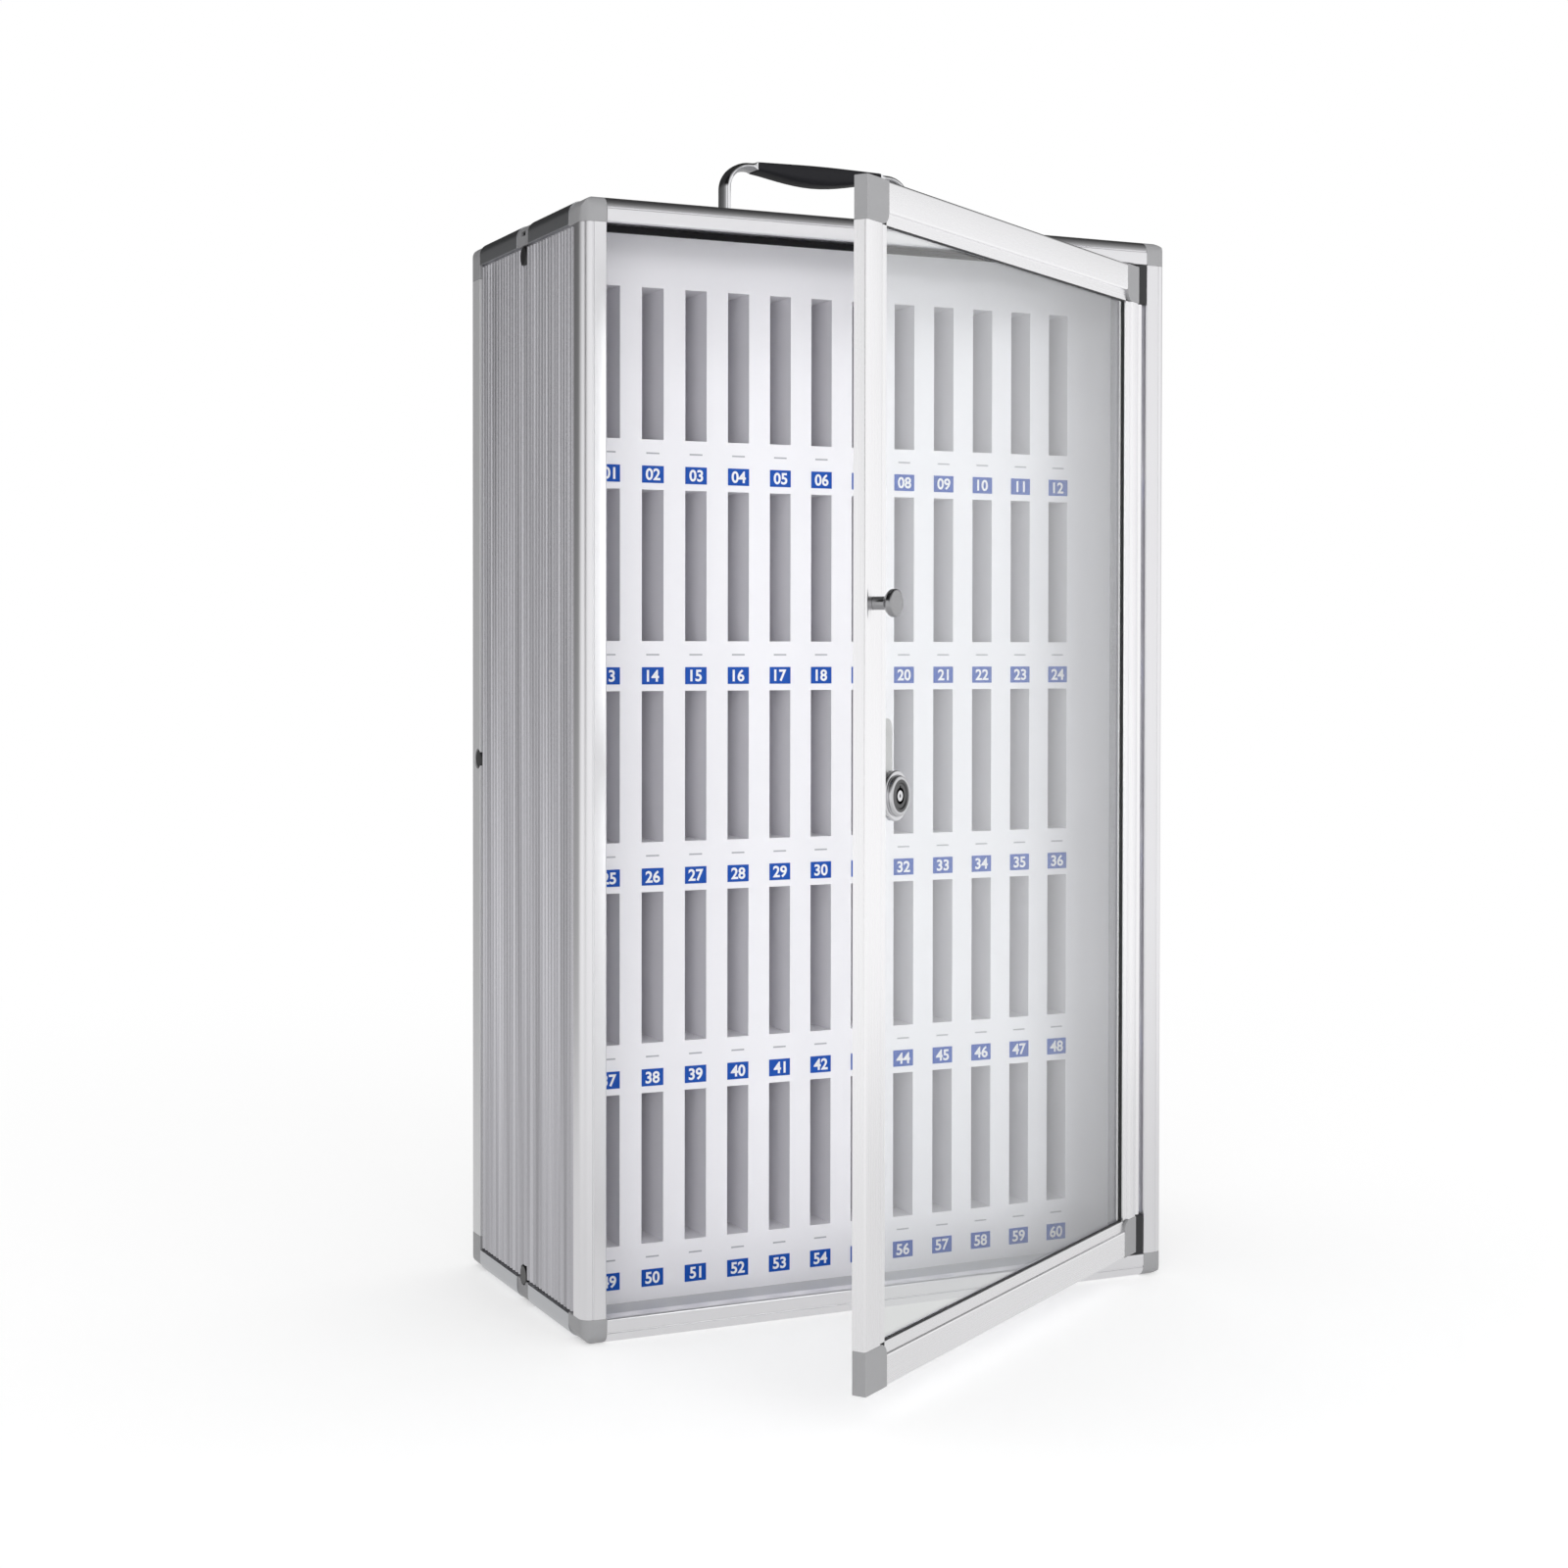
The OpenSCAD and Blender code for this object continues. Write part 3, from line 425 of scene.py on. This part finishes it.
# The boards that close the top, the base and the back: plain satin grey sheet, cut to size
# and held at the rim by the rails and posts.
plain = moulded("plain_board", (0.66, 0.665, 0.68), roughness=0.46, pits=900, depth=1.5e-5, strength=0.25,
                clouds=(7, 0.96, 1.04), metallic=0.25)
for node in ("top_panel", "bottom_panel", "back_panel"):
    refit(node, node + "_board", SMALL_EDGE, "cabinet", "plain_board", plain)

# The slot bank: folded bands across the box and hollow uprights between the slots, all in the
# same smooth pale sheet, so that the front reads as one panel with sixty slots.
ROWS, COLUMNS = 5, 12
pale_sheet = moulded("pale_sheet", (0.895, 0.885, 0.925), roughness=0.40, pits=700, depth=1e-5, strength=0.2,
                     clouds=(5, 0.985, 1.01))
refit("header_band", "header_band_sheet", 0, "cabinet", "slot_sheet", pale_sheet)
for row in range(1, ROWS + 1):
    shelf, dividers = f"shelf_row_{row}", f"dividers_row_{row}"
    refit(shelf, shelf + "_sheet", 0, "cabinet", "slot_sheet", pale_sheet)
    refit(dividers, dividers + "_sheets", 0, "cabinet", "slot_sheet", pale_sheet)

# The number labels: a thin blue film on the band under every slot, with its number in bold
# white print, and a plain grey line in the place beside it.
BODY_W, BODY_D = 420 * MM, 225 * MM
LABEL_W, LABEL_H, LABEL_T, PLATE_EDGE = 15 * MM, 11 * MM, 0.4 * MM, 0.12 * MM
SLOT_PITCH, ROW_PITCH = 30 * MM, 129 * MM
FIRST_SLOT_X = 41 * MM - BODY_W / 2
FASCIA_Y = 63 * MM - BODY_D / 2
FIRST_LABEL_Z = 536.8 * MM
LINE_W, LINE_H, LINE_RISE = 9 * MM, 1.0 * MM, 13.5 * MM
DIGIT_H, PRINT_T = 7.2 * MM, 0.06 * MM
TYPE_SIZE, BOLDER = 1.42 * DIGIT_H, 0.26 * MM
label_film = moulded("label_film", (0.006, 0.075, 0.42), roughness=0.42, pits=2200, depth=5e-6, strength=0.2,
                     clouds=(120, 0.9, 1.1), specular=0.22)
label_print = moulded("label_print", (0.88, 0.88, 0.90), roughness=0.5, pits=2600, depth=5e-6, strength=0.2)
line_print = moulded("line_print", (0.44, 0.44, 0.48), roughness=0.5, pits=2600, depth=5e-6, strength=0.2)


def printed_number(text):
    """Bold figures as a thin sheet that faces the front, centred on the origin."""
    curve = bpy.data.curves.new("figures", "FONT")
    curve.body = text
    curve.size = TYPE_SIZE
    curve.offset = BOLDER
    curve.extrude = PRINT_T / 2
    curve.align_x = "CENTER"
    curve.resolution_u = 4
    figures = placed("figures", curve)
    bpy.context.view_layer.update()
    mesh = bpy.data.meshes.new_from_object(figures)
    bpy.data.objects.remove(figures)
    mesh.transform(Matrix.Rotation(math.radians(90), 4, "X"))
    xs = [v.co.x for v in mesh.vertices]
    zs = [v.co.z for v in mesh.vertices]
    mesh.transform(Matrix.Translation((-(min(xs) + max(xs)) / 2, 0, -(min(zs) + max(zs)) / 2)))
    return mesh


def slab(bm, size, middle):
    """Adds a block of a size to a bmesh."""
    corners = bmesh.ops.create_cube(bm, size=1)["verts"]
    bmesh.ops.scale(bm, vec=size, verts=corners)
    bmesh.ops.translate(bm, vec=middle, verts=corners)


def from_bmesh(bm, name):
    """An object with the bmesh's faces."""
    mesh = bpy.data.meshes.new(name)
    bm.to_mesh(mesh)
    bm.free()
    return placed(name, mesh)


plates, numbers, lines = bmesh.new(), bmesh.new(), bmesh.new()
for row in range(ROWS):
    for column in range(COLUMNS):
        x = FIRST_SLOT_X + column * SLOT_PITCH
        z = FIRST_LABEL_Z - row * ROW_PITCH
        slab(plates, (LABEL_W, LABEL_T, LABEL_H), (x, FASCIA_Y - LABEL_T / 2, z))
        figures = printed_number(f"{row * COLUMNS + column + 1:02d}")
        figures.transform(Matrix.Translation((x, FASCIA_Y - LABEL_T - PRINT_T / 2, z)))
        numbers.from_mesh(figures)
        bpy.data.meshes.remove(figures)
        slab(lines, (LINE_W, PRINT_T, LINE_H), (x, FASCIA_Y - PRINT_T / 2, z + LINE_RISE))
plate_piece = from_bmesh(plates, "number_label_plates")
rounding = plate_piece.modifiers.new("round_corners", "BEVEL")
rounding.width = PLATE_EDGE
rounding.segments = 2
fit(plate_piece, "cabinet", "label_blue", label_film, "number_labels")
fit(from_bmesh(numbers, "label_numbers"), "cabinet", "label_blue", label_print)
fit(from_bmesh(lines, "label_lines"), "cabinet", "label_blue", line_print)

# The seal: an extruded strip of black rubber that lies under the top rail, for the shut door
# to rest against.
strip_rubber = moulded("strip_rubber", (0.006, 0.006, 0.007), roughness=0.6, pits=1200, depth=3e-5,
                       specular=0.2)
refit("top_seal_strip", "top_seal_strip_rubber", MOULDED_EDGE, "cabinet", "rubber_black", strip_rubber)


# The hinge: a black moulded block on the frame's return at each end of the right stile, with
# a zinc-plated steel pin in its bore for the door to turn on.
def bright_steel(name, roughness=0.24, tone=(0.62, 0.62, 0.63)):
    """Zinc-plated steel: fine mottling and small changes of gloss."""
    material, add, link, shader = finish(name, tone, roughness, metallic=1.0)
    mottle = grain(add, link, scale=900)
    tint(add, link, shader, grain(add, link, scale=250), tone, low=0.93, high=1.05)
    polish(add, link, shader, mottle, roughness - 0.06, roughness + 0.08)
    relief(add, link, shader, mottle, depth=6e-6, strength=0.3)
    return material


hinge_plastic = moulded("hinge_plastic", (0.022, 0.022, 0.024), roughness=0.36, pits=1300, depth=3e-5)
for node in ("upper_hinge_block", "lower_hinge_block"):
    refit(node, node + "_moulded", MOULDED_EDGE, "cabinet", "hinge_black", hinge_plastic)
zinc = bright_steel("zinc_steel")
refit("hinge_pins", "hinge_pins_steel", SMALL_EDGE, "cabinet", "steel_bright", zinc)

# The door frame: four slim hollow extrusions, each with a flat face and, a step below it, the
# glazing lip that holds the pane. The hinge stile carries the tube that turns on the pins,
# and grey moulded caps hold the corners.
DOOR_TURN = 34
DOOR_TONE, DOOR_ROUGHNESS = (0.97, 0.965, 0.98), 0.27
door_along_x = drawn_aluminium("door_aluminium_across", ALONG_X, DOOR_TONE, DOOR_ROUGHNESS, DOOR_TURN)
door_along_z = drawn_aluminium("door_aluminium_upright", ALONG_Z, DOOR_TONE, DOOR_ROUGHNESS, DOOR_TURN)
for node in ("door_top_rail", "door_bottom_rail"):
    refit(node, node + "_extrusion", SMALL_EDGE, "door", "door_aluminium", door_along_x)
for node in ("door_lock_stile", "door_hinge_stile"):
    refit(node, node + "_extrusion", SMALL_EDGE, "door", "door_aluminium", door_along_z)
refit("door_corner_caps", "door_corner_caps_moulded", MOULDED_EDGE, "door", "cap_grey", cap_plastic)

# The pane: clear glass with ground edges and a faint haze, let into the glazing channel and
# sealed by a thin black rubber gasket behind the lip.
GROUND_EDGE = 0.3 * MM
HAZE = (0.006, 0.016)
gasket_rubber = moulded("gasket_rubber", (0.02, 0.02, 0.021), roughness=0.5, pits=1500, depth=2e-5)
refit("glazing_gasket", "glazing_gasket_rubber", 0, "door", "rubber_black", gasket_rubber)
glass = bpy.data.materials.new("clear_glass")
add, link = node_tree(glass)
body_glass = add("ShaderNodeBsdfPrincipled")
body_glass.inputs["Base Color"].default_value = (0.97, 0.985, 0.98, 1)
body_glass.inputs["Roughness"].default_value = 0.0
body_glass.inputs["IOR"].default_value = 1.5
body_glass.inputs["Specular IOR Level"].default_value = 0.15
body_glass.inputs["Transmission Weight"].default_value = 1.0
clear = add("ShaderNodeBsdfTransparent")
clear.inputs["Color"].default_value = (0.975, 0.98, 0.98, 1)
film = add("ShaderNodeBsdfDiffuse")
film.inputs["Color"].default_value = (0.86, 0.87, 0.88, 1)
shadow = add("ShaderNodeLightPath").outputs["Is Shadow Ray"]
passed = mixed(add, link, shadow, body_glass.outputs[0], clear.outputs[0])
haze = eased(add, link, grain(add, link, scale=6), NOISE_LIMITS, *HAZE)
hazed = mixed(add, link, haze, passed, film.outputs[0])
feed(link, add("ShaderNodeOutputMaterial"), (hazed,))
refit("door_glass", "door_glass_pane", GROUND_EDGE, "door", "door_glass", glass)

# The knob: a steel stem and a round-edged disc domed behind, turned from one bar, held by a
# zinc-plated screw through the lock stile from inside.
TURNED_EDGE, FINE_EDGE = 0.3 * MM, 0.15 * MM
knob_metal = bright_steel("turned_steel", roughness=0.20, tone=(0.36, 0.36, 0.37))
refit("door_knob", "door_knob_turned", TURNED_EDGE, "door", "knob_steel", knob_metal)
refit("knob_screw", "knob_screw_head", FINE_EDGE, "door", "steel_bright", zinc)

# The cam lock: a chromed flange and collar on the glass with a barrel through it, held by a
# nut, and a plug with a round keyway that turns in it. A flat steel cam is screwed to the
# plug's end. Seen from the front, the plating has a painted bright rim and a painted dark ring
# about the plug: shade and dark reflections painted into its colour by distance from the axis.
LOCK_AXIS = (-0.09238, -0.30262, 0.3435)
LOCK_FACING = (math.sin(math.radians(DOOR_TURN)), -math.cos(math.radians(DOOR_TURN)), 0)
COLLAR_EDGE = 0.25 * MM
RING_REACH = 20
# Radii in mm and levels of the painted rings: a painted dark ring of shade and reflection about the plug.
PAINTED_RING_LEVELS = [(0, 1.0), (3.7, 1.0), (4.1, 0.12), (8.9, 0.14), (9.4, 0.75), (14.2, 1.0)]


def painted_shade_rings(add, link, shader, tone):
    """Paints shade and reflection into the base colour as rings about the lock's axis, with the rings' radii
    in mm.
    """
    place = add("ShaderNodeTexCoord").outputs["Object"]
    offset = vector(add, link, "SUBTRACT", place, LOCK_AXIS)
    radius = vector(add, link, "LENGTH", vector(add, link, "CROSS_PRODUCT", offset, LOCK_FACING))
    reach = number(add, link, "MULTIPLY", radius, 1 / (RING_REACH * MM))
    rings = stepped(add, link, reach, [(ring / RING_REACH, level) for ring, level in PAINTED_RING_LEVELS], tone)
    link(rings, shader.inputs["Base Color"])


def chrome(name, tone, roughness, rings=False):
    """Polished plating with faint handling marks, plain or with the lock's painted rings of shade and
    reflection.
    """
    material, add, link, shader = finish(name, tone, roughness, metallic=1.0)
    if rings:
        painted_shade_rings(add, link, shader, tone)
    else:
        tint(add, link, shader, grain(add, link, scale=70), tone, low=0.96, high=1.02)
    polish(add, link, shader, grain(add, link, scale=160), roughness, roughness + 0.04)
    relief(add, link, shader, grain(add, link, scale=300), depth=2e-6, strength=0.1)
    return material


lock_plating_painted_rings = chrome("lock_plating_painted_rings", (0.74, 0.74, 0.76), roughness=0.04, rings=True)
cam_steel = bright_steel("cam_steel", roughness=0.34, tone=(0.62, 0.61, 0.61))
refit("lock_body", "lock_collar_and_barrel", COLLAR_EDGE, "door", "lock_chrome", lock_plating_painted_rings)
refit("lock_nut", "lock_nut_steel", SMALL_EDGE, "door", "steel_bright", zinc)
refit("lock_plug", "lock_plug_turned", FINE_EDGE, "lock", "lock_chrome", lock_plating_painted_rings)
refit("lock_cam", "lock_cam_plate", SMALL_EDGE, "lock", "steel_bright", cam_steel)
refit("cam_screw", "cam_screw_head", FINE_EDGE, "lock", "steel_bright", zinc)

# The carrying handle: two steel brackets riveted to the lid, pivot pins, and a chromed strap of
# oval section, bent to a bail that folds to either side. It is full again inside the grip.
STRAP_HALF_W, STRAP_BEND = 8 * MM, 15.5 * MM
STRAP_LEG_X, STRAP_TOP_Z = 67.5 * MM, 749 * MM
OVAL_POWER, THINNEST = 2.4, 0.12
OVAL_CUTS, OVAL_STEP = 9, math.radians(9.4)
GRIP_MOUTH, FLARE, FLARE_CUTS = 45.6 * MM, 4.8 * MM, 6
STRAP_BREAK = 50


def strap_middle(x, y, z):
    """The point in the middle of the strap's thickness that lies beside a point on it."""
    side = math.copysign(1, x)
    core_x, core_z = side * (STRAP_LEG_X - STRAP_BEND), STRAP_TOP_Z - STRAP_BEND
    if z <= core_z:
        return Vector((side * STRAP_LEG_X, y, z))
    if abs(x) <= abs(core_x):
        return Vector((x, y, STRAP_TOP_Z))
    arm = Vector((x - core_x, 0, z - core_z)).normalized() * STRAP_BEND
    return Vector((core_x + arm.x, y, core_z + arm.z))


def crowned(piece):
    """Gives the strap an oval section: its faces are cut lengthwise and drawn in at the sides."""
    bm = bmesh.new()
    bm.from_mesh(piece.data)
    for step in range(-OVAL_CUTS, OVAL_CUTS + 1):
        cut(bm, (0, STRAP_HALF_W * math.sin(step * OVAL_STEP), 0), (0, 1, 0))
    for step in range(FLARE_CUTS + 1):
        for side in (-1, 1):
            cut(bm, (side * (GRIP_MOUTH + FLARE * step / FLARE_CUTS), 0, 0), (1, 0, 0))
    for vert in bm.verts:
        middle = strap_middle(*vert.co)
        inward = min(1, abs(vert.co.y) / STRAP_HALF_W)
        thickness = max(THINNEST, (1 - inward ** OVAL_POWER) ** (1 / OVAL_POWER))
        outside = min(1, max(0, (abs(vert.co.x) - GRIP_MOUTH) / FLARE))
        thickness = 1 + (thickness - 1) * outside * outside * (3 - 2 * outside)
        vert.co = middle + (vert.co - middle) * thickness
    bm.to_mesh(piece.data)
    bm.free()
    smoothed(piece.data, STRAP_BREAK)
    return piece


refit("handle_brackets", "handle_brackets_steel", SMALL_EDGE, "cabinet", "steel_bright", zinc)
refit("bracket_rivets", "bracket_rivet_heads", FINE_EDGE, "cabinet", "steel_bright", zinc)
refit("handle_pins", "handle_pivot_pins", SMALL_EDGE, "cabinet", "steel_bright", zinc)
strap_plating = chrome("strap_plating", (0.80, 0.80, 0.82), roughness=0.05)
strap = crowned(softened("handle_bail", "handle_strap"))
fit(strap, "handle", "handle_chrome", strap_plating, "handle_bail")

# The grip: a soft black moulding pushed over the middle of the strap, flat on top, full
# underneath and slimmer at both ends.
grip_rubber = moulded("grip_rubber", (0.020, 0.020, 0.023), roughness=0.42, pits=1100, depth=3e-5,
                      specular=0.15)
refit("handle_grip", "handle_grip_moulded", 0, "handle", "grip_black", grip_rubber, angle=45)
